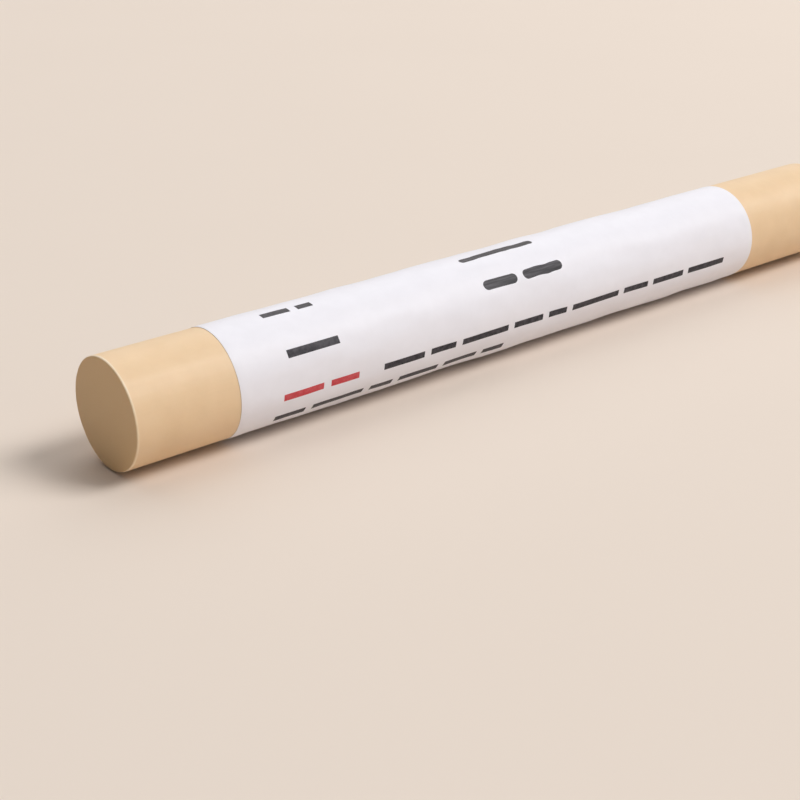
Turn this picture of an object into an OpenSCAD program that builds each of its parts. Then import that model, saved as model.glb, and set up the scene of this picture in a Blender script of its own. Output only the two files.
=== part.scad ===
// Furniture repair wax stick: a moulded stick of filler wax with a paper label wrapped once around it.
// The stick lies along X with its label resting on the floor, and the label's seam faces the back.

/* [Wax stick] */
// Diameter of the wax stick
stick_d = 11; // [8:0.5:16]
// Length of the wax stick
stick_len = 100; // [90:1:140]
// Radius of the rounded rim at both ends
rim_r = 0.25; // [0.1:0.05:1]

/* [Label] */
// Bare wax between the near end and the label
near_bare = 11; // [4:0.5:20]
// Length of the label along the stick
label_len = 73; // [40:1:80]
// Thickness of the label paper
paper_t = 0.09; // [0.07:0.01:0.2]
// Thickness of the adhesive film on the back of the paper
film_t = 0.04; // [0.03:0.01:0.1]

/* [Seam] */
// Width of the lap, where the paper covers its own first edge
lap_w = 4; // [2:0.5:5]
// Width of the ramp by which the paper climbs onto its first edge
ramp_w = 1; // [0.6:0.1:2]
// Angle of the paper's first edge below the horizontal, on the back of the stick
seam_drop = 54; // [50:1:66]

/* [Hidden] */
$fn = 96;
// Straight steps that the ramp's S-curve is drawn with
ramp_steps = 8;
// Thinning of a sheet on each of its faces where it bends over the ramp
bend_thinning = 0.01;
stick_r = stick_d / 2;
paper_in_r = stick_r + film_t;
label_r = paper_in_r + paper_t;
// One layer of the wrap, which the lap climbs by
layer_t = film_t + paper_t;
ramp_angle = arc_angle(ramp_w, label_r);
lap_angle = arc_angle(lap_w, label_r + layer_t);
// Height of the stick's axis when the label rests on the floor
axis_z = label_r;

// Angle that an arc of the given width spans at the given radius
function arc_angle(width, radius) = width / radius * 180 / PI;

// Smooth rise from 0 to 1 along the ramp, level before its first step and after its last
function rise_share(step) = (1 - cos(180 * max(0, min(1, step / ramp_steps)))) / 2;

// Points along one face of the ramp, which starts at the given radius.
// They run from half a step before the ramp to half a step past it, into the layers that it joins.
function ramp_face(start_r) = [
    for (step = [-1 / 2 : ramp_steps + 1 / 2])
        let (angle = -seam_drop - ramp_angle * (1 - step / ramp_steps),
             radius = start_r + layer_t * rise_share(step))
        [radius * cos(angle), radius * sin(angle)]
];

// List of points in the opposite order
function reversed(points) = [for (i = [len(points) - 1 : -1 : 0]) points[i]];

// Turns what is modelled upright around the Z axis to lie along X at the stick's height,
// with the start of its length at the near end and its angle 0 at the back
module along_stick(start = 0) {
    translate([start - stick_len / 2, 0, axis_z])
        rotate([90, 0, 90])
            children();
}

// Half section of the stick, with its radius along x and its length along y
module stick_section() {
    square([stick_r - rim_r, stick_len]);
    translate([0, rim_r])
        square([stick_r, stick_len - 2 * rim_r]);
    for (end_y = [rim_r, stick_len - rim_r])
        translate([stick_r - rim_r, end_y])
            circle(rim_r);
}

// Part of a turn of a sheet of the given wall, from the paper's first edge onwards
module turned_sheet(in_r, wall, angle) {
    rotate_extrude(angle = angle, start = -seam_drop)
        translate([in_r, 0])
            square([wall, label_len]);
}

// A sheet wrapped once around the stick: its first layer, the ramp at the end of the turn and the lap
module wrapped_sheet(in_r, wall) {
    turned_sheet(in_r, wall, 360 - ramp_angle);
    linear_extrude(label_len)
        polygon(concat(ramp_face(in_r + wall - bend_thinning), reversed(ramp_face(in_r + bend_thinning))));
    turned_sheet(in_r + layer_t, wall, lap_angle);
}

// Moulded stick of filler wax, round, with flat ends and softly rounded rims
module wax_stick() {
    color("#e6c79f")
        along_stick()
            rotate_extrude()
                stick_section();
}

// Film of adhesive that holds the paper to the wax, and the lap to the paper's first layer
module label_adhesive() {
    color("#d9cfae")
        along_stick(near_bare)
            wrapped_sheet(stick_r, film_t);
}

// Paper label, one wrapped sheet that overlaps itself at the seam
module paper_label() {
    color("#f3f1f6")
        along_stick(near_bare)
            wrapped_sheet(paper_in_r, paper_t);
}

wax_stick();
label_adhesive();
paper_label();
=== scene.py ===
"""Furniture repair wax stick: a moulded stick of filler wax in a wrapped paper label.

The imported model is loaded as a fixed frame, and each operator makes one piece, or one group of like pieces,
in that frame. Lengths are in metres and angles in radians. An angle around the stick is 0 at the back and a
quarter turn at the top, and the side that the camera sees is at half a turn.
"""
import math

import bpy
import numpy as np
from bpy.props import FloatProperty, FloatVectorProperty, PointerProperty
from mathutils import Euler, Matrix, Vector


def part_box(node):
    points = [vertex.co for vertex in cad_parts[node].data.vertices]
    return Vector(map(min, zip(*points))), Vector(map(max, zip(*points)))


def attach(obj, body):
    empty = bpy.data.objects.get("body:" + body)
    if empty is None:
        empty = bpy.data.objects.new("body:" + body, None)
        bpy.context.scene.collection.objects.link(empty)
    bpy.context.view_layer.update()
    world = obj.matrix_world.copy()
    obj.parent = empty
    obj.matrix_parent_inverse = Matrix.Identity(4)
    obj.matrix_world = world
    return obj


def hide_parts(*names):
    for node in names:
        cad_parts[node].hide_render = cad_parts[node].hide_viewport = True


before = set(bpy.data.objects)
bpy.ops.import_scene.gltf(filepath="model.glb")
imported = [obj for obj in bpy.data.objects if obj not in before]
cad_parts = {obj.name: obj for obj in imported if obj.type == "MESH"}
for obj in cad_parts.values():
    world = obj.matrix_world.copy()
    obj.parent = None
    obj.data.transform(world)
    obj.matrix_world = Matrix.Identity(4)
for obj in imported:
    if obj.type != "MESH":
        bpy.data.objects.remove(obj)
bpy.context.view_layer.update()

bl_info = {
    "name": "Furniture Repair Wax Stick",
    "version": (1, 0, 0),
    "blender": (4, 5, 0),
    "location": "View3D > Sidebar > Wax Stick",
    "description": "Builds a moulded stick of filler wax with a wrapped paper label",
    "category": "Add Mesh",
}

MM = 0.001
BODY = "root"
STICK_LOW, STICK_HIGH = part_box("wax_stick")
LABEL_LOW, LABEL_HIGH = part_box("paper_label")
AXIS_Z = (LABEL_LOW.z + LABEL_HIGH.z) / 2

# Rings and steps of the cast's mesh
CAST_STEPS = 192
RIM_STEPS = 8
FACE_RINGS = 12
BARE_SPACING = 0.5 * MM
COVERED_SPACING = 3 * MM
# Rings this close to the rim keep the ends flat and the side straight beside it
RIM_MARGIN = 0.06 * MM
# A ring that faces along the stick by more than this share lies on the flat of an end
FLAT_FACING = 0.999
# Waves that make the cast's faint unevenness: their number, their turns around the stick, up to one less than
# the second number, and their lengths along it in mm
UNEVEN_SEED = 11
UNEVEN_WAVES = 9
UNEVEN_TURNS = (1, 8)
UNEVEN_LENGTHS = (8, 40)
# Gain that spreads the waves over the whole depth, and power by which they fade to the middle of each end
UNEVEN_GAIN = 1.6
UNEVEN_FADE = 6
# Dents from handling in each rim: their number, width along the rim, depth, range of sizes and how many times
# narrower they are along the stick
RIM_DENTS = 7
DENT_WIDTH = 0.5 * MM
DENT_DEPTH = 0.012 * MM
DENT_SIZES = (0.3, 1.0)
DENT_NARROWING = 1.5

# Points of the label's mesh along the stick, around it and through its thickness
SHEET_POINTS = (147, 221, 2)
FILM_POINTS = (49, 111, 2)
BAR_POINTS = (25, 13, 2)
PEN_POINTS = (97, 13, 2)
# Sides of the unit slab that sheets and bars are made from, in its own direction and against it
SLAB_SPAN = {"From Min": -0.5, "From Max": 0.5}
SLAB_SPAN_BACK = {"From Min": 0.5, "From Max": -0.5}
# Edges that bend more than this are crisp
CRISP_ANGLE = math.radians(60)
# Sizes that every tree of wrapped geometry takes, with the socket names that its users see
WRAP_INPUTS = (
    "Radius", "Axis Height", "First Edge", "Ramp Start", "Ramp End", "Wrap End", "Layer",
    "Ripple", "Sag", "Edge Lift", "Label Start", "Label End",
)
# Ripples in the paper: their length along the stick and width around it, and the plain margin at both edges
RIPPLE_LENGTH = 8 * MM
RIPPLE_WIDTH = 4 * MM
RIPPLE_MARGIN = 2.5 * MM
# Turn over which the ripples fade towards the seam
RIPPLE_FADE = math.radians(20)
# Width of the strip at the lap's free edge that lifts off
EDGE_STRIP = 1.2 * MM

# Rows of plain printed bars: ink, start along the stick in mm, angle around it in degrees, height of the bars
# in mm and their lengths in mm
PRINT_ROWS = (
    ("dark", -33.1, 97.0, 0.75, (3.2, 1.8)),
    ("dark", -33.0, 148.0, 0.8, (6.1,)),
    ("red", -34.0, 191.0, 0.7, (4.7, 3.4)),
    ("dark", -21.9, 191.0, 0.7, (5.2, 3.3, 6.4, 4.1, 2.6, 7.2, 3.8, 5.0, 6.1)),
    ("dark", -34.6, 217.0, 0.75, (3.6, 6.2, 2.8, 5.1, 4.4, 2.9)),
)
# Rows of bars drawn with a felt pen: start in mm, angle in degrees, width of the stroke and lengths in mm
PEN_ROWS = (
    (-8.0, 96.0, 0.8, (10.4,)),
    (-7.6, 138.0, 1.1, (4.6, 5.7)),
)
# Length of a stroke over which the hand wavers once
WAVER_LENGTH = 4 * MM
# A stroke's width at its round end is the root of TIP_SUM less the square of the way to its tip, which starts
# at TIP_START. The sum is a little over 1, so that the tip keeps some width.
TIP_SUM = 1.02
TIP_START = 0.05
# Sizes of the patches where printed ink soaked in and of the streaks where the pen ran dry
INK_PATCH = Vector((0.5, 0.5, 0.5)) * MM
PEN_STREAK = Vector((3, 0.25, 0.25)) * MM

# Values of a noise texture that a pattern goes by: most of them, nearly all of them, or more of the upper
# ones, so that a second tone comes in patches
NOISE_SPAN = {"From Min": 0.3, "From Max": 0.7}
WAVE_SPAN = {"From Min": 0.25, "From Max": 0.75}
PATCH_SPAN = {"From Min": 0.35, "From Max": 0.75}
# Settings that all properties for a colour have
COLOUR = {"subtype": "COLOR", "size": 4, "min": 0, "max": 1}

# Directions that the lights come from, and their distance
SOFTBOX_FROM = Vector((0.5, -0.42, 0.76))
BACK_LIGHT_FROM = Vector((0.29, 0.51, 0.81))
FILL_FROM = Vector((0.3, -0.85, 0.4))
LIGHT_DISTANCE = 2.0
# Place of the camera, the angles that it is turned and looks down by, and where its view starts
CAMERA_PLACE = Vector((-113.807, -119.448, 66.040)) * MM
CAMERA_TURN = -0.688905
CAMERA_DOWN = 0.417965
CAMERA_CLIP = 5 * MM


def linear(code):
    """Scene-linear colour of an sRGB hex code."""
    shares = [int(code[i:i + 2], 16) / 255 for i in (1, 3, 5)]
    return [s / 12.92 if s <= 0.04045 else ((s + 0.055) / 1.055) ** 2.4 for s in shares] + [1.0]


def add_node(tree, kind, inputs=None, **settings):
    """Adds a node with its settings, and feeds its inputs with values or with other nodes' sockets.
    A Mix node's names repeat, so its inputs go by number: 0 is the share, 2 and 3 are plain values,
    6 and 7 are colours, and the mixed colour is output 2."""
    node = tree.nodes.new(kind)
    for name, value in settings.items():
        setattr(node, name, value)
    for key, value in (inputs or {}).items():
        if isinstance(value, bpy.types.NodeSocket):
            tree.links.new(value, node.inputs[key])
        else:
            node.inputs[key].default_value = value
    return node


class WaxStickCast(bpy.types.PropertyGroup):
    """Sizes and colours of the wax."""
    radius: FloatProperty(
        name="Radius", description="Radius of the wax stick", unit="LENGTH",
        default=(STICK_HIGH.z - STICK_LOW.z) / 2, min=4 * MM, max=8 * MM)
    rim: FloatProperty(
        name="Rim", description="Radius of the rounded rim at both ends", unit="LENGTH",
        default=0.15 * MM, min=0.1 * MM, max=1 * MM)
    dish: FloatProperty(
        name="Dish", description="Depth that the ends sink to in the middle as the wax cools", unit="LENGTH",
        default=0.03 * MM, min=0, max=0.3 * MM)
    shrink: FloatProperty(
        name="Shrinkage", description="How far the cast shrank under the label", unit="LENGTH",
        default=0.11 * MM, min=0, max=0.3 * MM)
    uneven: FloatProperty(
        name="Unevenness", description="Depth of the faint hollows in the surface", unit="LENGTH",
        default=0.016 * MM, min=0, max=0.1 * MM)
    colour: FloatVectorProperty(
        name="Wax", description="Main colour of the wax", default=linear("#ebcca5"), **COLOUR)
    cloud: FloatVectorProperty(
        name="Cloud", description="Deeper colour of the wax's clouds", default=linear("#dfbe94"), **COLOUR)
    # Deeper colour painted on the two ends: painted shade
    ends: FloatVectorProperty(
        name="Ends", description="Deeper colour of the two cut ends", default=linear("#e1bf8f"), **COLOUR)
    # Paler colour painted along the rims: a painted highlight
    rim_highlight: FloatVectorProperty(
        name="Painted Rim Highlight", description="Paler colour of the rims", default=linear("#fff0d8"), **COLOUR)


class WaxStickLabel(bpy.types.PropertyGroup):
    """Sizes and colours of the label and its adhesive."""
    film: FloatProperty(
        name="Film", description="Thickness of the adhesive film", unit="LENGTH",
        default=0.012 * MM, min=0.01 * MM, max=0.1 * MM)
    paper: FloatProperty(
        name="Paper", description="Thickness of the paper", unit="LENGTH",
        default=0.05 * MM, min=0.04 * MM, max=0.2 * MM)
    first_edge: FloatProperty(
        name="First Edge", description="Angle around the stick of the paper's first edge", unit="ROTATION",
        default=math.radians(-54))
    lap: FloatProperty(
        name="Lap", description="Width of the lap over the paper's first edge", unit="LENGTH",
        default=4 * MM, min=2 * MM, max=5 * MM)
    ramp: FloatProperty(
        name="Ramp", description="Width of the ramp up to the lap", unit="LENGTH",
        default=1 * MM, min=0.6 * MM, max=2 * MM)
    skew: FloatProperty(
        name="Skew", description="How far the wrap wanders along the stick by its end", unit="LENGTH",
        default=0.2 * MM, min=0, max=1 * MM)
    ripple: FloatProperty(
        name="Ripple", description="Height of the faint ripples in the paper", unit="LENGTH",
        default=0.055 * MM, min=0, max=0.1 * MM)
    sag: FloatProperty(
        name="Sag", description="Depth of the paper's faint hollows between the ripples", unit="LENGTH",
        default=0.09 * MM, min=0, max=0.2 * MM)
    cut_edge: FloatProperty(
        name="Cut Edge", description="Share of the paper's thickness that the die leaves at its cut ends",
        subtype="FACTOR", default=0.4, min=0.1, max=1)
    edge_lift: FloatProperty(
        name="Edge Lift", description="How far the lap's free edge lifts off", unit="LENGTH",
        default=0.04 * MM, min=0, max=0.3 * MM)
    colour: FloatVectorProperty(
        name="Paper Colour", description="Colour of the coated paper", default=linear("#f0eef4"), **COLOUR)
    fleck: FloatVectorProperty(
        name="Fleck", description="Greyer colour of the paper's flecks", default=linear("#b9b4b6"), **COLOUR)
    film_colour: FloatVectorProperty(
        name="Film Colour", description="Colour of the adhesive film", default=linear("#dfcfa8"), **COLOUR)
    film_streak: FloatVectorProperty(
        name="Streak", description="Deeper colour of the film's streaks", default=linear("#c5ad7f"), **COLOUR)


class WaxStickPrint(bpy.types.PropertyGroup):
    """Sizes and colours of the bars on the label."""
    gap: FloatProperty(
        name="Gap", description="Gap between two bars of a row", unit="LENGTH",
        default=0.9 * MM, min=0.2 * MM, max=3 * MM)
    ink: FloatProperty(
        name="Ink", description="Height of the ink above the paper", unit="LENGTH",
        default=0.006 * MM, min=0.002 * MM, max=0.05 * MM)
    waver: FloatProperty(
        name="Waver", description="How far a stroke of the pen wavers", unit="LENGTH",
        default=0.16 * MM, min=0, max=1 * MM)
    dark: FloatVectorProperty(
        name="Dark Ink", description="Colour of the dark bars", default=linear("#343237"), **COLOUR)
    dark_thin: FloatVectorProperty(
        name="Thin Dark Ink", description="Colour of thin dark ink", default=linear("#77747a"), **COLOUR)
    red: FloatVectorProperty(
        name="Red Ink", description="Colour of the red bars", default=linear("#c8474d"), **COLOUR)
    red_thin: FloatVectorProperty(
        name="Thin Red Ink", description="Colour of thin red ink", default=linear("#de8285"), **COLOUR)
    pen: FloatVectorProperty(
        name="Pen Ink", description="Colour of the felt pen", default=linear("#232126"), **COLOUR)
    pen_thin: FloatVectorProperty(
        name="Thin Pen Ink", description="Colour of the pen running dry", default=linear("#8d8a90"), **COLOUR)


class WaxStickStage(bpy.types.PropertyGroup):
    """Sizes, colours and light of the stage."""
    floor_size: FloatProperty(
        name="Floor", description="Side of the floor", unit="LENGTH", default=4, min=1, max=20)
    floor_colour: FloatVectorProperty(
        name="Floor Colour", description="Colour of the floor", default=linear("#e6d8cb"), **COLOUR)
    key_power: FloatProperty(
        name="Softbox", description="Power of the softbox", unit="POWER", default=29.0, min=0, max=500)
    key_size: FloatProperty(
        name="Softbox Size", description="Side of the softbox", unit="LENGTH", default=0.9, min=0.1, max=5)
    back_power: FloatProperty(
        name="Back Light", description="Power of the light behind the stick", unit="POWER",
        default=22.0, min=0, max=500)
    back_size: FloatProperty(
        name="Back Light Size", description="Side of the light behind the stick", unit="LENGTH",
        default=2.2, min=0.1, max=5)
    fill_power: FloatProperty(
        name="Fill Light", description="Power of the low light in front of the stick", unit="POWER",
        default=6.4, min=0, max=500)
    fill_size: FloatProperty(
        name="Fill Light Size", description="Side of the light in front of the stick", unit="LENGTH",
        default=2.0, min=0.1, max=5)
    room: FloatProperty(
        name="Room", description="Strength of the light from all around", default=0.1, min=0, max=2)
    room_colour: FloatVectorProperty(
        name="Room Colour", description="Colour of the room's light", default=linear("#fdfcff"), **COLOUR)
    backdrop: FloatVectorProperty(
        name="Backdrop", description="Colour that shows past the floor", default=linear("#ece3da"), **COLOUR)
    lens: FloatProperty(
        name="Lens", description="Focal length of the camera, in mm on a 36 mm sensor", unit="CAMERA",
        default=72.536, min=10, max=300)


def new_material(name):
    """Starts a material, and returns it with its empty tree and the places on the piece, as a socket."""
    material = bpy.data.materials.new(name)
    material.use_nodes = True
    tree = material.node_tree
    tree.nodes.clear()
    return material, tree, add_node(tree, "ShaderNodeTexCoord").outputs["Object"]


def moulded_wax(cast):
    """Moulded filler wax, a soft blend of paraffin and pigment: satin, slightly translucent, faintly cloudy
    inside, with fine lines along the stick from the mould and a knife's faint marks across the ends. Its ends
    are painted a deeper colour as painted shade, and its rims are painted paler as a painted highlight."""
    material, tree, place = new_material("moulded_filler_wax")
    cloud_size = 4 * MM
    clouds = add_node(tree, "ShaderNodeTexNoise", {
        "Vector": place, "Scale": 1 / cloud_size, "Detail": 4.0, "Roughness": 0.55})
    cloud_share = add_node(tree, "ShaderNodeMapRange", {
        "Value": clouds.outputs[0], **PATCH_SPAN, "To Min": 0.0, "To Max": 0.6})
    colour = add_node(tree, "ShaderNodeMix", {
        0: cloud_share.outputs[0], 6: tuple(cast.colour), 7: tuple(cast.cloud)}, data_type="RGBA")
    # The rims are painted paler in patches, on the outer part of their curve and the start of the side: a
    # painted highlight along each rim
    highlight_inner = cast.radius - 0.75 * cast.rim
    highlight_outer = cast.radius - 0.25 * cast.rim
    highlight_start = STICK_HIGH.x - cast.rim - 0.15 * MM
    highlight_full = highlight_start + 0.1 * MM
    axes = add_node(tree, "ShaderNodeSeparateXYZ", {0: place})
    height = add_node(tree, "ShaderNodeMath", {0: axes.outputs[2], 1: AXIS_Z}, operation="SUBTRACT")
    spoke = add_node(tree, "ShaderNodeCombineXYZ", {1: axes.outputs[1], 2: height.outputs[0]})
    away = add_node(tree, "ShaderNodeVectorMath", {0: spoke.outputs[0]}, operation="LENGTH")
    from_middle = add_node(tree, "ShaderNodeMath", {0: axes.outputs[0]}, operation="ABSOLUTE")
    by_radius = add_node(tree, "ShaderNodeMapRange", {
        "Value": away.outputs["Value"], "From Min": highlight_inner, "From Max": highlight_outer})
    by_end = add_node(tree, "ShaderNodeMapRange", {
        "Value": from_middle.outputs[0], "From Min": highlight_start, "From Max": highlight_full})
    at_rim = add_node(tree, "ShaderNodeMath", {
        0: by_radius.outputs[0], 1: by_end.outputs[0]}, operation="MULTIPLY")
    patches = add_node(tree, "ShaderNodeMapRange", {
        "Value": clouds.outputs[0], "From Min": 0.35, "From Max": 0.65, "To Min": 0.2, "To Max": 0.7})
    patchy = add_node(tree, "ShaderNodeMath", {
        0: at_rim.outputs[0], 1: patches.outputs[0]}, operation="MULTIPLY")
    # The two ends are painted a deeper colour: painted shade on the end faces
    at_end = add_node(tree, "ShaderNodeMapRange", {
        "Value": from_middle.outputs[0], "From Min": STICK_HIGH.x - cast.rim,
        "From Max": STICK_HIGH.x - cast.dish, "To Min": 0.0, "To Max": 1.0})
    cut = add_node(tree, "ShaderNodeMix", {
        0: at_end.outputs[0], 6: colour.outputs[2], 7: tuple(cast.ends)}, data_type="RGBA")
    # The paler rim colour mixed in here is a painted highlight
    with_highlight = add_node(tree, "ShaderNodeMix", {
        0: patchy.outputs[0], 6: cut.outputs[2], 7: tuple(cast.rim_highlight)}, data_type="RGBA")
    # Mould lines about 0.3 mm apart, which run on for about 40 mm
    line_size = Vector((40, 0.3, 0.3)) * MM
    line_depth = 0.016 * MM
    stretched = add_node(tree, "ShaderNodeVectorMath", {0: place, 1: line_size}, operation="DIVIDE")
    lines = add_node(tree, "ShaderNodeTexNoise", {
        "Vector": stretched.outputs[0], "Scale": 1.0, "Detail": 2.0})
    # Marks of the knife about 0.4 mm apart, which run across the ends
    mark_size = Vector((40, 7, 0.4)) * MM
    sliced = add_node(tree, "ShaderNodeVectorMath", {0: place, 1: mark_size}, operation="DIVIDE")
    marks = add_node(tree, "ShaderNodeTexNoise", {"Vector": sliced.outputs[0], "Scale": 1.0, "Detail": 2.0})
    relief = add_node(tree, "ShaderNodeMix", {
        0: at_end.outputs[0], 2: lines.outputs[0], 3: marks.outputs[0]})
    line_bump = add_node(tree, "ShaderNodeBump", {
        "Strength": 0.5, "Distance": line_depth, "Height": relief.outputs[0]})
    # The wax's own grain is about 0.05 mm, and is drawn at 0.25 mm so that it shows
    grain_size = 0.25 * MM
    grain_depth = 0.01 * MM
    grain = add_node(tree, "ShaderNodeTexNoise", {
        "Vector": place, "Scale": 1 / grain_size, "Detail": 2.0})
    surface = add_node(tree, "ShaderNodeBump", {
        "Strength": 0.3, "Distance": grain_depth, "Height": grain.outputs[0], "Normal": line_bump.outputs[0]})
    satin = add_node(tree, "ShaderNodeMapRange", {
        "Value": lines.outputs[0], **NOISE_SPAN, "To Min": 0.44, "To Max": 0.52})
    # A little light goes about a millimetre into the wax, its red the deepest
    glow_depth = 1.2 * MM
    glow_shares = (1.0, 0.6, 0.35)
    shader = add_node(tree, "ShaderNodeBsdfPrincipled", {
        "Base Color": with_highlight.outputs[2], "Roughness": satin.outputs[0], "IOR": 1.44,
        "Subsurface Weight": 0.1, "Subsurface Radius": glow_shares, "Subsurface Scale": glow_depth,
        "Normal": surface.outputs[0]})
    add_node(tree, "ShaderNodeOutputMaterial", {"Surface": shader.outputs[0]})
    return material


def coated_paper(label):
    """Coated label paper: a white, slightly bluish clay coat with a soft sheen, faintly mottled by the
    fibres under it."""
    material, tree, place = new_material("coated_label_paper")
    fleck_size = 1.2 * MM
    flecks = add_node(tree, "ShaderNodeTexNoise", {
        "Vector": place, "Scale": 1 / fleck_size, "Detail": 5.0, "Roughness": 0.6})
    fleck_share = add_node(tree, "ShaderNodeMapRange", {
        "Value": flecks.outputs[0], **PATCH_SPAN, "To Min": 0.0, "To Max": 0.05})
    colour = add_node(tree, "ShaderNodeMix", {
        0: fleck_share.outputs[0], 6: tuple(label.colour), 7: tuple(label.fleck)}, data_type="RGBA")
    sheen = add_node(tree, "ShaderNodeMapRange", {
        "Value": flecks.outputs[0], **NOISE_SPAN, "To Min": 0.4, "To Max": 0.48})
    # The coat's tooth is about 0.03 mm, and is drawn at 0.3 mm so that it shows
    tooth_size = 0.3 * MM
    tooth_depth = 0.006 * MM
    tooth = add_node(tree, "ShaderNodeTexNoise", {
        "Vector": place, "Scale": 1 / tooth_size, "Detail": 3.0})
    surface = add_node(tree, "ShaderNodeBump", {
        "Strength": 0.25, "Distance": tooth_depth, "Height": tooth.outputs[0]})
    shader = add_node(tree, "ShaderNodeBsdfPrincipled", {
        "Base Color": colour.outputs[2], "Roughness": sheen.outputs[0], "Specular IOR Level": 0.2,
        "Normal": surface.outputs[0]})
    add_node(tree, "ShaderNodeOutputMaterial", {"Surface": shader.outputs[0]})
    return material


def acrylic_adhesive(label):
    """Acrylic adhesive: a tacky film, yellowish and glossy where it shows at the paper's edges."""
    material, tree, place = new_material("acrylic_adhesive")
    streak_size = 0.8 * MM
    streak_depth = 0.01 * MM
    streaks = add_node(tree, "ShaderNodeTexNoise", {
        "Vector": place, "Scale": 1 / streak_size, "Detail": 3.0})
    colour = add_node(tree, "ShaderNodeMix", {
        0: streaks.outputs[0], 6: tuple(label.film_colour), 7: tuple(label.film_streak)}, data_type="RGBA")
    surface = add_node(tree, "ShaderNodeBump", {
        "Strength": 0.4, "Distance": streak_depth, "Height": streaks.outputs[0]})
    shader = add_node(tree, "ShaderNodeBsdfPrincipled", {
        "Base Color": colour.outputs[2], "Roughness": 0.3, "IOR": 1.47, "Normal": surface.outputs[0]})
    add_node(tree, "ShaderNodeOutputMaterial", {"Surface": shader.outputs[0]})
    return material


def ink_on_paper(name, full, thin, patch_size):
    """Ink on coated paper: it takes the coat's soft sheen, and is thinner in patches where it soaked in or
    where the pen ran dry. The patches have the given size along the stick, around it and through it."""
    material, tree, place = new_material(name)
    stretched = add_node(tree, "ShaderNodeVectorMath", {0: place, 1: patch_size}, operation="DIVIDE")
    patches = add_node(tree, "ShaderNodeTexNoise", {
        "Vector": stretched.outputs[0], "Scale": 1.0, "Detail": 4.0})
    thin_share = add_node(tree, "ShaderNodeMapRange", {
        "Value": patches.outputs[0], "From Min": 0.4, "From Max": 0.72, "To Min": 0.0, "To Max": 0.3})
    colour = add_node(tree, "ShaderNodeMix", {
        0: thin_share.outputs[0], 6: tuple(full), 7: tuple(thin)}, data_type="RGBA")
    sheen = add_node(tree, "ShaderNodeMapRange", {
        "Value": patches.outputs[0], **NOISE_SPAN, "To Min": 0.36, "To Max": 0.46})
    shader = add_node(tree, "ShaderNodeBsdfPrincipled", {
        "Base Color": colour.outputs[2], "Roughness": sheen.outputs[0], "Specular IOR Level": 0.15})
    add_node(tree, "ShaderNodeOutputMaterial", {"Surface": shader.outputs[0]})
    return material


def painted_floor(stage):
    """Matt paint on a flat floor: pale and even, with only a trace of the roller in it."""
    material, tree, place = new_material("matt_floor_paint")
    roller_size = 30 * MM
    roller = add_node(tree, "ShaderNodeTexNoise", {
        "Vector": place, "Scale": 1 / roller_size, "Detail": 2.0})
    dull = add_node(tree, "ShaderNodeMapRange", {
        "Value": roller.outputs[0], **NOISE_SPAN, "To Min": 0.8, "To Max": 0.86})
    shader = add_node(tree, "ShaderNodeBsdfPrincipled", {
        "Base Color": tuple(stage.floor_colour), "Roughness": dull.outputs[0], "Specular IOR Level": 0.25})
    add_node(tree, "ShaderNodeOutputMaterial", {"Surface": shader.outputs[0]})
    return material


def add_piece(name, mesh):
    """Links a new object with the given mesh, at the origin and unturned."""
    piece = bpy.data.objects.new(name, mesh)
    bpy.context.scene.collection.objects.link(piece)
    return piece


def check_volume(piece):
    """Stops the script if a piece has no volume or is inside out."""
    mesh = piece.data
    mesh.calc_loop_triangles()
    points = np.empty(len(mesh.vertices) * 3, np.float32)
    mesh.vertices.foreach_get("co", points)
    corners = np.empty(len(mesh.loop_triangles) * 3, np.int32)
    mesh.loop_triangles.foreach_get("vertices", corners)
    a, b, c = points.reshape(-1, 3)[corners.reshape(-1, 3)].astype(float).transpose(1, 0, 2)
    volume = np.einsum("ij,ij->i", a, np.cross(b, c)).sum() / 6
    if volume <= 0:
        raise RuntimeError(f"{piece.name} is empty or inside out")


def cast_profile(cast):
    """Half section of the cast, from the middle of the near end to the middle of the far end.
    Each row is a point and its outward direction: x, radius, and their directions."""
    reach = cast.radius - cast.rim
    rows = [(0.0, r, -1.0, 0.0) for r in np.linspace(0, reach - RIM_MARGIN, FACE_RINGS)]
    for angle in np.linspace(0, math.pi / 2, RIM_STEPS + 1):
        rows.append((cast.rim * (1 - math.cos(angle)), reach + cast.rim * math.sin(angle),
                     -math.cos(angle), math.sin(angle)))
    rows = [(STICK_LOW.x + x, r, nx, nr) for x, r, nx, nr in rows]
    bare_near, bare_far = LABEL_LOW.x, LABEL_HIGH.x
    side_start = STICK_LOW.x + cast.rim + RIM_MARGIN
    side_end = STICK_HIGH.x - cast.rim - RIM_MARGIN
    stations = np.concatenate([
        np.linspace(side_start, bare_near, round((bare_near - side_start) / BARE_SPACING) + 1),
        np.linspace(bare_near, bare_far, round((bare_far - bare_near) / COVERED_SPACING) + 1)[1:-1],
        np.linspace(bare_far, side_end, round((side_end - bare_far) / BARE_SPACING) + 1)])
    inside = np.minimum(stations - bare_near, bare_far - stations)
    shrunk = cast.shrink * np.clip(inside / COVERED_SPACING, 0, 1)
    side = [(x, cast.radius - depth, 0.0, 1.0) for x, depth in zip(stations, shrunk)]
    far = [(STICK_LOW.x + STICK_HIGH.x - x, r, -nx, nr) for x, r, nx, nr in reversed(rows)]
    return np.array(rows + side + far)


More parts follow.
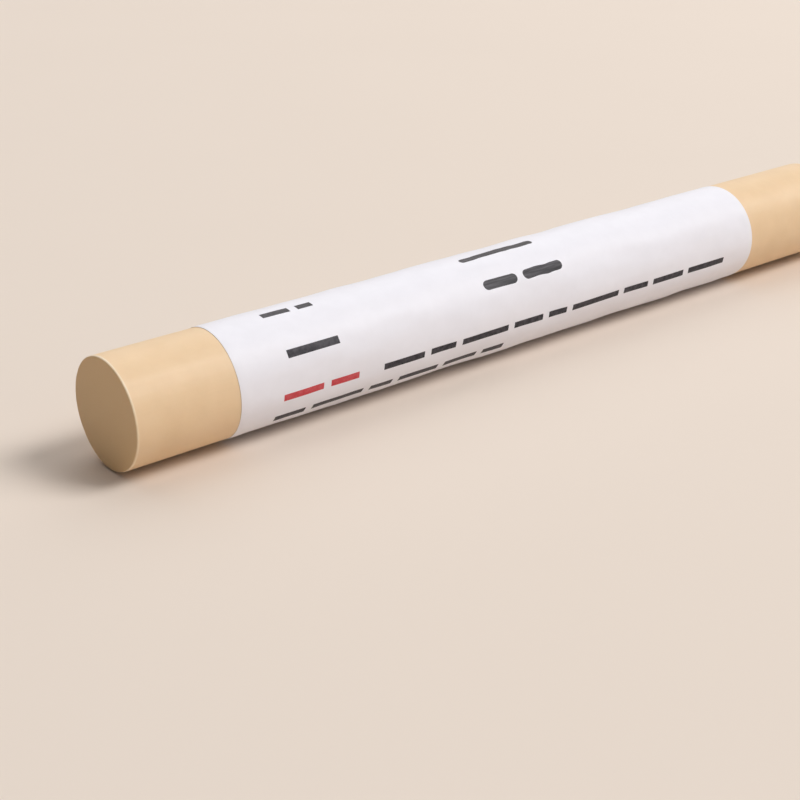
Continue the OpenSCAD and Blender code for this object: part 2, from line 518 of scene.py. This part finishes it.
def hollows(cast, x, angle):
    """Depth of the cast's faint hollows and of its rims' dents, at places along and around the stick."""
    draw = np.random.default_rng(UNEVEN_SEED)
    depth = np.zeros(np.broadcast(x, angle).shape)
    for _ in range(UNEVEN_WAVES):
        turns = draw.integers(*UNEVEN_TURNS)
        length = draw.uniform(*UNEVEN_LENGTHS) * MM
        shift_around, shift_along = draw.uniform(0, 2 * math.pi, 2)
        depth += np.cos(turns * angle + shift_around) * np.cos(2 * math.pi * x / length + shift_along)
    depth = cast.uneven * (0.5 + depth / (2 * UNEVEN_WAVES) * UNEVEN_GAIN)
    for end in (STICK_LOW.x, STICK_HIGH.x):
        for _ in range(RIM_DENTS):
            place = draw.uniform(0, 2 * math.pi)
            scale = draw.uniform(*DENT_SIZES)
            around = (angle - place + math.pi) % (2 * math.pi) - math.pi
            apart = (around * cast.radius) ** 2 + ((x - end) * DENT_NARROWING) ** 2
            depth += DENT_DEPTH * scale * np.exp(-apart / (DENT_WIDTH * scale) ** 2)
    return np.clip(depth, 0, None)


def cast_mesh(cast):
    """Turns the cast's half section around the stick's axis, with its faint hollows and dished ends."""
    x, radius, out_x, out_r = cast_profile(cast).T
    angle = np.arange(CAST_STEPS) * 2 * math.pi / CAST_STEPS
    rings = slice(1, -1)
    # The hollows and dents fade towards the middle of each end, which is evenly dished
    fade = (radius[rings, None] / cast.radius) ** UNEVEN_FADE
    depth = hollows(cast, x[rings, None], angle[None, :]) * fade
    flat = np.abs(out_x[rings, None]) > FLAT_FACING
    dish = np.where(flat, cast.dish * (1 - (radius[rings, None] / (cast.radius - cast.rim)) ** 2), 0)
    along = x[rings, None] - out_x[rings, None] * (depth + dish)
    away = radius[rings, None] - out_r[rings, None] * depth
    points = np.stack([along, away * np.cos(angle), AXIS_Z + away * np.sin(angle)], -1).reshape(-1, 3)
    poles = [(x[0] + cast.dish, 0, AXIS_Z), (x[-1] - cast.dish, 0, AXIS_Z)]
    count = len(x) - 2
    near, far = count * CAST_STEPS, count * CAST_STEPS + 1
    faces = []
    for step in range(CAST_STEPS):
        after = (step + 1) % CAST_STEPS
        faces.append((near, after, step))
        for ring in range(count - 1):
            low, high = ring * CAST_STEPS, (ring + 1) * CAST_STEPS
            faces.append((low + step, low + after, high + after, high + step))
        last = (count - 1) * CAST_STEPS
        faces.append((last + step, last + after, far))
    mesh = bpy.data.meshes.new("wax_cast")
    mesh.from_pydata(points.tolist() + poles, [], faces)
    mesh.shade_smooth()
    return mesh


def wrap_values(label, cast):
    """Values of the wrap's inputs for this label and stick."""
    paper_in = cast.radius + label.film
    layer = label.film + label.paper
    return {
        "Radius": paper_in,
        "Axis Height": AXIS_Z,
        "First Edge": label.first_edge,
        "Ramp Start": 2 * math.pi - label.ramp / (paper_in + label.paper),
        "Ramp End": 2 * math.pi,
        "Wrap End": 2 * math.pi + label.lap / (paper_in + label.paper + layer),
        "Layer": layer,
        "Ripple": label.ripple,
        "Sag": label.sag,
        "Edge Lift": label.edge_lift,
        "Label Start": LABEL_LOW.x,
        "Label End": LABEL_HIGH.x,
    }


def new_tree(name, inputs):
    """Starts a geometry tree with named inputs, and returns it with its inputs' sockets."""
    tree = bpy.data.node_groups.new(name, "GeometryNodeTree")
    tree.interface.new_socket("Geometry", in_out="INPUT", socket_type="NodeSocketGeometry")
    for title in inputs:
        tree.interface.new_socket(title, in_out="INPUT", socket_type="NodeSocketFloat")
    tree.interface.new_socket("Material", in_out="INPUT", socket_type="NodeSocketMaterial")
    tree.interface.new_socket("Geometry", in_out="OUTPUT", socket_type="NodeSocketGeometry")
    return tree, add_node(tree, "NodeGroupInput").outputs


def end_tree(tree, geometry, material):
    """Ends a geometry tree in real geometry with its material."""
    real = add_node(tree, "GeometryNodeRealizeInstances", {"Geometry": geometry})
    dressed = add_node(tree, "GeometryNodeSetMaterial", {"Geometry": real.outputs[0], "Material": material})
    add_node(tree, "NodeGroupOutput", {"Geometry": dressed.outputs[0]})


def apply_tree(piece, tree, values):
    """Runs a geometry tree on a piece and keeps the result as its plain mesh."""
    modifier = piece.modifiers.new(tree.name, "NODES")
    modifier.node_group = tree
    for item in tree.interface.items_tree:
        if item.in_out == "INPUT" and item.name in values:
            modifier[item.identifier] = values[item.name]
    depsgraph = bpy.context.evaluated_depsgraph_get()
    made = bpy.data.meshes.new_from_object(piece.evaluated_get(depsgraph))
    made.name = piece.name
    piece.modifiers.remove(modifier)
    piece.data = made
    check_volume(piece)


def slab(tree, points):
    """Adds a closed unit slab with the given points along its sides, smooth but for its crisp edges."""
    box = add_node(tree, "GeometryNodeMeshCube", {
        "Size": (1, 1, 1), "Vertices X": points[0], "Vertices Y": points[1], "Vertices Z": points[2]})
    smooth = add_node(tree, "GeometryNodeSetShadeSmooth", {
        "Geometry": box.outputs["Mesh"], "Shade Smooth": True})
    bend = add_node(tree, "GeometryNodeInputMeshEdgeAngle")
    corner = add_node(tree, "ShaderNodeMath", {0: bend.outputs[0], 1: CRISP_ANGLE}, operation="GREATER_THAN")
    crisp = add_node(tree, "GeometryNodeSetShadeSmooth", {
        "Geometry": smooth.outputs[0], "Selection": corner.outputs[0], "Shade Smooth": False}, domain="EDGE")
    return crisp.outputs[0]


def wrap_around(tree, sizes, along, turn, lift):
    """Adds the nodes that wrap flat places around the stick, and returns their position.
    A place has its x along the stick, its turn from the first edge and its lift off the film.
    The wrap climbs one layer over the ramp, ripples faintly between its edges and lifts at its free edge."""
    climb = add_node(tree, "ShaderNodeMapRange", {
        "Value": turn, "From Min": sizes["Ramp Start"], "From Max": sizes["Ramp End"],
        "To Min": 0.0, "To Max": sizes["Layer"]}, interpolation_type="SMOOTHSTEP")
    arc = add_node(tree, "ShaderNodeMath", {0: turn, 1: sizes["Radius"]}, operation="MULTIPLY")
    flat = add_node(tree, "ShaderNodeCombineXYZ", {0: along, 1: arc.outputs[0]})
    spread = add_node(tree, "ShaderNodeVectorMath", {
        0: flat.outputs[0], 1: (RIPPLE_LENGTH, RIPPLE_WIDTH, 1)}, operation="DIVIDE")
    noise = add_node(tree, "ShaderNodeTexNoise", {"Vector": spread.outputs[0], "Scale": 1.0, "Detail": 1.0})
    hollow = add_node(tree, "ShaderNodeMath", {0: sizes["Sag"], 1: -1.0}, operation="MULTIPLY")
    wave = add_node(tree, "ShaderNodeMapRange", {
        "Value": noise.outputs[0], **WAVE_SPAN,
        "To Min": hollow.outputs[0], "To Max": sizes["Ripple"]}, interpolation_type="SMOOTHSTEP")
    from_start = add_node(tree, "ShaderNodeMath", {0: along, 1: sizes["Label Start"]}, operation="SUBTRACT")
    from_end = add_node(tree, "ShaderNodeMath", {0: sizes["Label End"], 1: along}, operation="SUBTRACT")
    inside = add_node(tree, "ShaderNodeMath", {
        0: from_start.outputs[0], 1: from_end.outputs[0]}, operation="MINIMUM")
    window = add_node(tree, "ShaderNodeMapRange", {
        "Value": inside.outputs[0], "From Min": 0.0, "From Max": RIPPLE_MARGIN},
        interpolation_type="SMOOTHSTEP")
    # No ripples where the paper lies double, so that its two layers stay clear of each other
    lap_turn = add_node(tree, "ShaderNodeMath", {
        0: sizes["Wrap End"], 1: sizes["Ramp End"]}, operation="SUBTRACT")
    lap_end = add_node(tree, "ShaderNodeMath", {0: lap_turn.outputs[0], 1: RIPPLE_FADE}, operation="ADD")
    ramp_near = add_node(tree, "ShaderNodeMath", {
        0: sizes["Ramp Start"], 1: RIPPLE_FADE}, operation="SUBTRACT")
    past_lap = add_node(tree, "ShaderNodeMapRange", {
        "Value": turn, "From Min": lap_turn.outputs[0], "From Max": lap_end.outputs[0]},
        interpolation_type="SMOOTHSTEP")
    before_ramp = add_node(tree, "ShaderNodeMapRange", {
        "Value": turn, "From Min": sizes["Ramp Start"], "From Max": ramp_near.outputs[0]},
        interpolation_type="SMOOTHSTEP")
    ripple = wave
    for share in (window, past_lap, before_ramp):
        ripple = add_node(tree, "ShaderNodeMath", {
            0: ripple.outputs[0], 1: share.outputs[0]}, operation="MULTIPLY")
    to_edge = add_node(tree, "ShaderNodeMath", {0: sizes["Wrap End"], 1: turn}, operation="SUBTRACT")
    edge_arc = add_node(tree, "ShaderNodeMath", {
        0: to_edge.outputs[0], 1: sizes["Radius"]}, operation="MULTIPLY")
    free = add_node(tree, "ShaderNodeMapRange", {
        "Value": edge_arc.outputs[0], "From Min": EDGE_STRIP, "From Max": 0.0,
        "To Min": 0.0, "To Max": sizes["Edge Lift"]}, interpolation_type="SMOOTHSTEP")
    radius = sizes["Radius"]
    for rise in (lift, climb.outputs[0], ripple.outputs[0], free.outputs[0]):
        radius = add_node(tree, "ShaderNodeMath", {0: radius, 1: rise}, operation="ADD").outputs[0]
    spoke = add_node(tree, "ShaderNodeCombineXYZ", {0: along, 1: radius})
    angle = add_node(tree, "ShaderNodeMath", {0: turn, 1: sizes["First Edge"]}, operation="ADD")
    turned = add_node(tree, "ShaderNodeVectorRotate", {
        "Vector": spoke.outputs[0], "Angle": angle.outputs[0]}, rotation_type="X_AXIS")
    raised = add_node(tree, "ShaderNodeCombineXYZ", {2: sizes["Axis Height"]})
    return add_node(tree, "ShaderNodeVectorMath", {
        0: turned.outputs[0], 1: raised.outputs[0]}, operation="ADD").outputs[0]


def wrapped_sheet_tree(points):
    """Geometry tree of a closed sheet, wrapped once around the stick and over its own first edge."""
    tree, sizes = new_tree("wrapped_sheet", WRAP_INPUTS + ("Bottom", "Top", "Skew", "Cut Edge"))
    flat = slab(tree, points)
    position = add_node(tree, "GeometryNodeInputPosition")
    place = add_node(tree, "ShaderNodeSeparateXYZ", {0: position.outputs[0]})
    turn = add_node(tree, "ShaderNodeMapRange", {
        "Value": place.outputs[1], **SLAB_SPAN_BACK, "To Min": 0.0, "To Max": sizes["Wrap End"]})
    wander = add_node(tree, "ShaderNodeMapRange", {
        "Value": place.outputs[1], **SLAB_SPAN_BACK, "To Min": 0.0, "To Max": sizes["Skew"]})
    far_edge = add_node(tree, "ShaderNodeMath", {
        0: sizes["Label End"], 1: sizes["Skew"]}, operation="SUBTRACT")
    straight = add_node(tree, "ShaderNodeMapRange", {
        "Value": place.outputs[0], **SLAB_SPAN,
        "To Min": sizes["Label Start"], "To Max": far_edge.outputs[0]})
    along = add_node(tree, "ShaderNodeMath", {
        0: straight.outputs[0], 1: wander.outputs[0]}, operation="ADD")
    # The last row of points at either cut end is pressed down by the die
    slab_end = SLAB_SPAN["From Max"]
    row_before = slab_end - 1 / (points[0] - 1)
    from_middle = add_node(tree, "ShaderNodeMath", {0: place.outputs[0]}, operation="ABSOLUTE")
    pressed = add_node(tree, "ShaderNodeMapRange", {
        "Value": from_middle.outputs[0], "From Min": row_before, "From Max": slab_end,
        "To Min": 1.0, "To Max": sizes["Cut Edge"]})
    top = add_node(tree, "ShaderNodeMix", {0: pressed.outputs[0], 2: sizes["Bottom"], 3: sizes["Top"]})
    lift = add_node(tree, "ShaderNodeMapRange", {
        "Value": place.outputs[2], **SLAB_SPAN, "To Min": sizes["Bottom"], "To Max": top.outputs[0]})
    wrapped = wrap_around(tree, sizes, along.outputs[0], turn.outputs[0], lift.outputs[0])
    placed = add_node(tree, "GeometryNodeSetPosition", {"Geometry": flat, "Position": wrapped})
    end_tree(tree, placed.outputs[0], sizes["Material"])
    return tree


def ink_bars_tree(points):
    """Geometry tree of flat bars of ink, one at each point, wrapped onto the label.
    A point's x is the bar's middle along the stick, and its y is minus the arc from the first edge."""
    tree, sizes = new_tree("ink_bars", WRAP_INPUTS + ("Bottom", "Top", "Waver", "Waver Length", "Round Ends"))
    bar = slab(tree, points)
    length, height, middle = (
        add_node(tree, "GeometryNodeInputNamedAttribute", {"Name": name}, data_type=kind).outputs[0]
        for name, kind in (("bar_length", "FLOAT"), ("bar_height", "FLOAT"), ("bar_middle", "FLOAT_VECTOR")))
    size = add_node(tree, "ShaderNodeCombineXYZ", {0: length, 1: height, 2: 1.0})
    bars = add_node(tree, "GeometryNodeInstanceOnPoints", {
        "Points": sizes["Geometry"], "Instance": bar, "Scale": size.outputs[0]})
    real = add_node(tree, "GeometryNodeRealizeInstances", {"Geometry": bars.outputs[0]})
    position = add_node(tree, "GeometryNodeInputPosition")
    place = add_node(tree, "ShaderNodeSeparateXYZ", {0: position.outputs[0]})
    offset = add_node(tree, "ShaderNodeVectorMath", {0: position.outputs[0], 1: middle}, operation="SUBTRACT")
    aside = add_node(tree, "ShaderNodeSeparateXYZ", {0: offset.outputs[0]})
    # Round ends: the bar narrows over its last half width as a circle does
    from_middle = add_node(tree, "ShaderNodeMath", {0: aside.outputs[0]}, operation="ABSOLUTE")
    half_length = add_node(tree, "ShaderNodeMath", {0: length, 1: 0.5}, operation="MULTIPLY")
    half_width = add_node(tree, "ShaderNodeMath", {0: height, 1: 0.5}, operation="MULTIPLY")
    to_end = add_node(tree, "ShaderNodeMath", {
        0: half_length.outputs[0], 1: from_middle.outputs[0]}, operation="SUBTRACT")
    to_tip = add_node(tree, "ShaderNodeMapRange", {
        "Value": to_end.outputs[0], "From Min": 0.0, "From Max": half_width.outputs[0],
        "To Min": 1.0, "To Max": TIP_START})
    square = add_node(tree, "ShaderNodeMath", {0: to_tip.outputs[0], 1: 2.0}, operation="POWER")
    left = add_node(tree, "ShaderNodeMath", {0: TIP_SUM, 1: square.outputs[0]}, operation="SUBTRACT")
    circle = add_node(tree, "ShaderNodeMath", {0: left.outputs[0]}, operation="SQRT")
    narrow = add_node(tree, "ShaderNodeMix", {0: sizes["Round Ends"], 2: 1.0, 3: circle.outputs[0]})
    # The pen's stroke wavers with the hand, each row in its own way
    bar_row = add_node(tree, "ShaderNodeSeparateXYZ", {0: middle})
    along_waver = add_node(tree, "ShaderNodeMath", {
        0: place.outputs[0], 1: sizes["Waver Length"]}, operation="DIVIDE")
    row_waver = add_node(tree, "ShaderNodeMath", {
        0: bar_row.outputs[1], 1: sizes["Waver Length"]}, operation="DIVIDE")
    stroke = add_node(tree, "ShaderNodeCombineXYZ", {0: along_waver.outputs[0], 1: row_waver.outputs[0]})
    hand = add_node(tree, "ShaderNodeTexNoise", {"Vector": stroke.outputs[0], "Scale": 1.0, "Detail": 2.0})
    minus_waver = add_node(tree, "ShaderNodeMath", {0: sizes["Waver"], 1: -1.0}, operation="MULTIPLY")
    drift = add_node(tree, "ShaderNodeMapRange", {
        "Value": hand.outputs[0], **WAVE_SPAN, "To Min": minus_waver.outputs[0], "To Max": sizes["Waver"]})
    across = add_node(tree, "ShaderNodeMath", {
        0: aside.outputs[1], 1: narrow.outputs[0]}, operation="MULTIPLY")
    centred = add_node(tree, "ShaderNodeMath", {
        0: across.outputs[0], 1: bar_row.outputs[1]}, operation="ADD")
    drawn = add_node(tree, "ShaderNodeMath", {0: centred.outputs[0], 1: drift.outputs[0]}, operation="ADD")
    back = add_node(tree, "ShaderNodeMath", {0: sizes["Radius"], 1: -1.0}, operation="MULTIPLY")
    turn = add_node(tree, "ShaderNodeMath", {0: drawn.outputs[0], 1: back.outputs[0]}, operation="DIVIDE")
    lift = add_node(tree, "ShaderNodeMapRange", {
        "Value": place.outputs[2], **SLAB_SPAN, "To Min": sizes["Bottom"], "To Max": sizes["Top"]})
    wrapped = wrap_around(tree, sizes, place.outputs[0], turn.outputs[0], lift.outputs[0])
    placed = add_node(tree, "GeometryNodeSetPosition", {"Geometry": real.outputs[0], "Position": wrapped})
    end_tree(tree, placed.outputs[0], sizes["Material"])
    return tree


def sheet_piece(context, name, points, bottom, top, cut_edge, material):
    """Makes one sheet of the label between two lifts off the film, its cut ends pressed to a share of it."""
    label = context.scene.wax_stick_label
    values = wrap_values(label, context.scene.wax_stick_cast)
    values.update({
        "Bottom": bottom, "Top": top, "Skew": label.skew, "Cut Edge": cut_edge, "Material": material})
    piece = add_piece(name, bpy.data.meshes.new(name))
    apply_tree(piece, wrapped_sheet_tree(points), values)
    return piece


def row_bars(start, angle, height, lengths, gap):
    """Bars of one row, each as its middle along the stick, its angle around it, its height and its length."""
    bars = []
    edge = start * MM
    for length in lengths:
        bars.append((edge + length * MM / 2, math.radians(angle), height * MM, length * MM))
        edge += length * MM + gap
    return bars


def bar_points(name, bars, values):
    """Mesh of one point for each bar, with the bar's middle, height and length as its attributes."""
    along, angles, heights, lengths = zip(*bars)
    turns = [(angle - values["First Edge"]) % (2 * math.pi) for angle in angles]
    middles = [(x, -turn * values["Radius"], 0.0) for x, turn in zip(along, turns)]
    mesh = bpy.data.meshes.new(name)
    mesh.from_pydata(middles, [], [])
    mesh.attributes.new("bar_middle", "FLOAT_VECTOR", "POINT").data.foreach_set("vector", np.ravel(middles))
    mesh.attributes.new("bar_height", "FLOAT", "POINT").data.foreach_set("value", heights)
    mesh.attributes.new("bar_length", "FLOAT", "POINT").data.foreach_set("value", lengths)
    return mesh


def ink_piece(context, name, bars, points, pen, material):
    """Makes a piece of ink bars on the label, printed or drawn with the pen."""
    scene = context.scene
    ink = scene.wax_stick_print
    label = scene.wax_stick_label
    values = wrap_values(label, scene.wax_stick_cast)
    values.update({
        "Bottom": label.paper - ink.ink, "Top": label.paper + ink.ink, "Waver": ink.waver if pen else 0.0,
        "Waver Length": WAVER_LENGTH, "Round Ends": 1.0 if pen else 0.0, "Material": material})
    piece = add_piece(name, bar_points(name, bars, values))
    apply_tree(piece, ink_bars_tree(points), values)
    for attribute in ("bar_middle", "bar_height", "bar_length"):
        piece.data.attributes.remove(piece.data.attributes[attribute])
    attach(piece, BODY)


class WAXSTICK_OT_wax_cast(bpy.types.Operator):
    """Cast the stick of filler wax, with rounded rims and faintly dished ends"""
    bl_idname = "waxstick.wax_cast"
    bl_label = "Wax Cast"

    def execute(self, context):
        cast = context.scene.wax_stick_cast
        piece = add_piece("wax_cast", cast_mesh(cast))
        piece.data.materials.append(moulded_wax(cast))
        check_volume(piece)
        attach(piece, BODY)
        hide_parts("wax_stick")
        return {"FINISHED"}


class WAXSTICK_OT_adhesive_film(bpy.types.Operator):
    """Lay the adhesive film between the wax and the paper, and under the lap"""
    bl_idname = "waxstick.adhesive_film"
    bl_label = "Adhesive Film"

    def execute(self, context):
        label = context.scene.wax_stick_label
        piece = sheet_piece(
            context, "adhesive_film", FILM_POINTS, -label.film, 0.0, 1.0, acrylic_adhesive(label))
        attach(piece, BODY)
        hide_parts("label_adhesive")
        return {"FINISHED"}


class WAXSTICK_OT_label_sheet(bpy.types.Operator):
    """Wrap the paper label around the stick, with its lap low on the back"""
    bl_idname = "waxstick.label_sheet"
    bl_label = "Label Sheet"

    def execute(self, context):
        label = context.scene.wax_stick_label
        piece = sheet_piece(
            context, "label_sheet", SHEET_POINTS, 0.0, label.paper, label.cut_edge, coated_paper(label))
        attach(piece, BODY)
        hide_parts("paper_label")
        return {"FINISHED"}


class WAXSTICK_OT_print_bars(bpy.types.Operator):
    """Print rows of plain dark and red bars on the label"""
    bl_idname = "waxstick.print_bars"
    bl_label = "Print Bars"

    def execute(self, context):
        ink = context.scene.wax_stick_print
        bars = {"dark": [], "red": []}
        for colour, *row in PRINT_ROWS:
            bars[colour] += row_bars(*row, ink.gap)
        dark = ink_on_paper("dark_printing_ink", ink.dark, ink.dark_thin, INK_PATCH)
        red = ink_on_paper("red_printing_ink", ink.red, ink.red_thin, INK_PATCH)
        ink_piece(context, "print_bars_dark", bars["dark"], BAR_POINTS, False, dark)
        ink_piece(context, "print_bars_red", bars["red"], BAR_POINTS, False, red)
        return {"FINISHED"}


class WAXSTICK_OT_pen_bars(bpy.types.Operator):
    """Draw plain bars on the label with a felt pen"""
    bl_idname = "waxstick.pen_bars"
    bl_label = "Pen Bars"

    def execute(self, context):
        ink = context.scene.wax_stick_print
        bars = [bar for row in PEN_ROWS for bar in row_bars(*row, ink.gap)]
        pen = ink_on_paper("felt_pen_ink", ink.pen, ink.pen_thin, PEN_STREAK)
        ink_piece(context, "pen_bars", bars, PEN_POINTS, True, pen)
        return {"FINISHED"}


class WAXSTICK_OT_stage(bpy.types.Operator):
    """Set up the floor, the soft light and the camera"""
    bl_idname = "waxstick.stage"
    bl_label = "Stage"

    def execute(self, context):
        scene = context.scene
        stage = scene.wax_stick_stage
        half = stage.floor_size / 2
        corners = [(-half, -half, 0), (half, -half, 0), (half, half, 0), (-half, half, 0)]
        mesh = bpy.data.meshes.new("floor")
        mesh.from_pydata(corners, [], [(0, 1, 2, 3)])
        floor = add_piece("floor", mesh)
        floor.data.materials.append(painted_floor(stage))

        for name, towards, power, size in (
                ("softbox", SOFTBOX_FROM, stage.key_power, stage.key_size),
                ("back_light", BACK_LIGHT_FROM, stage.back_power, stage.back_size),
                ("fill_light", FILL_FROM, stage.fill_power, stage.fill_size)):
            light = bpy.data.lights.new(name, "AREA")
            light.shape = "SQUARE"
            light.size = size
            light.energy = power
            lamp = bpy.data.objects.new(name, light)
            lamp.location = towards.normalized() * LIGHT_DISTANCE
            lamp.rotation_euler = towards.to_track_quat("Z", "Y").to_euler()
            scene.collection.objects.link(lamp)

        # The room lights the stick weakly from all around, and shows as the backdrop past the floor
        world = bpy.data.worlds.new("room")
        world.use_nodes = True
        scene.world = world
        tree = world.node_tree
        tree.nodes.clear()
        ray = add_node(tree, "ShaderNodeLightPath")
        seen = add_node(tree, "ShaderNodeMath", {
            0: ray.outputs["Is Camera Ray"], 1: ray.outputs["Is Glossy Ray"]}, operation="MAXIMUM")
        shown = add_node(tree, "ShaderNodeMath", {
            0: seen.outputs[0], 1: ray.outputs["Is Transmission Ray"]}, operation="MAXIMUM")
        ambient = add_node(tree, "ShaderNodeBackground", {
            "Color": tuple(stage.room_colour), "Strength": stage.room})
        backdrop = add_node(tree, "ShaderNodeBackground", {"Color": tuple(stage.backdrop), "Strength": 1.0})
        both = add_node(tree, "ShaderNodeMixShader", {
            0: shown.outputs[0], 1: ambient.outputs[0], 2: backdrop.outputs[0]})
        add_node(tree, "ShaderNodeOutputWorld", {"Surface": both.outputs[0]})

        camera = bpy.data.cameras.new("camera")
        camera.lens = stage.lens
        camera.clip_start = CAMERA_CLIP
        viewer = bpy.data.objects.new("camera", camera)
        viewer.location = CAMERA_PLACE
        viewer.rotation_euler = Euler((math.pi / 2 - CAMERA_DOWN, 0, CAMERA_TURN))
        scene.collection.objects.link(viewer)
        scene.camera = viewer
        scene.view_settings.view_transform = "Standard"
        return {"FINISHED"}


class WAXSTICK_PT_panel(bpy.types.Panel):
    """Sizes, colours and pieces of the wax stick"""
    bl_idname = "WAXSTICK_PT_panel"
    bl_label = "Wax Stick"
    bl_space_type = "VIEW_3D"
    bl_region_type = "UI"
    bl_category = "Wax Stick"

    def draw(self, context):
        for group, kind in GROUPS.items():
            box = self.layout.box()
            for name in kind.__annotations__:
                box.prop(getattr(context.scene, group), name)
        for operator in OPERATORS:
            self.layout.operator(operator.bl_idname)


GROUPS = {
    "wax_stick_cast": WaxStickCast,
    "wax_stick_label": WaxStickLabel,
    "wax_stick_print": WaxStickPrint,
    "wax_stick_stage": WaxStickStage,
}
OPERATORS = (
    WAXSTICK_OT_wax_cast,
    WAXSTICK_OT_adhesive_film,
    WAXSTICK_OT_label_sheet,
    WAXSTICK_OT_print_bars,
    WAXSTICK_OT_pen_bars,
    WAXSTICK_OT_stage,
)
CLASSES = (*GROUPS.values(), *OPERATORS, WAXSTICK_PT_panel)


def register():
    """Registers the classes, and gives the scene its groups of sizes and colours."""
    for item in CLASSES:
        bpy.utils.register_class(item)
    for name, group in GROUPS.items():
        setattr(bpy.types.Scene, name, PointerProperty(type=group))


def unregister():
    """Takes the groups off the scene, and removes the classes."""
    for name in GROUPS:
        delattr(bpy.types.Scene, name)
    for item in reversed(CLASSES):
        bpy.utils.unregister_class(item)


def main():
    """Builds the pieces and the stage."""
    register()
    bpy.ops.waxstick.wax_cast()
    bpy.ops.waxstick.adhesive_film()
    bpy.ops.waxstick.label_sheet()
    bpy.ops.waxstick.print_bars()
    bpy.ops.waxstick.pen_bars()
    bpy.ops.waxstick.stage()


if __name__ == "__main__":
    main()
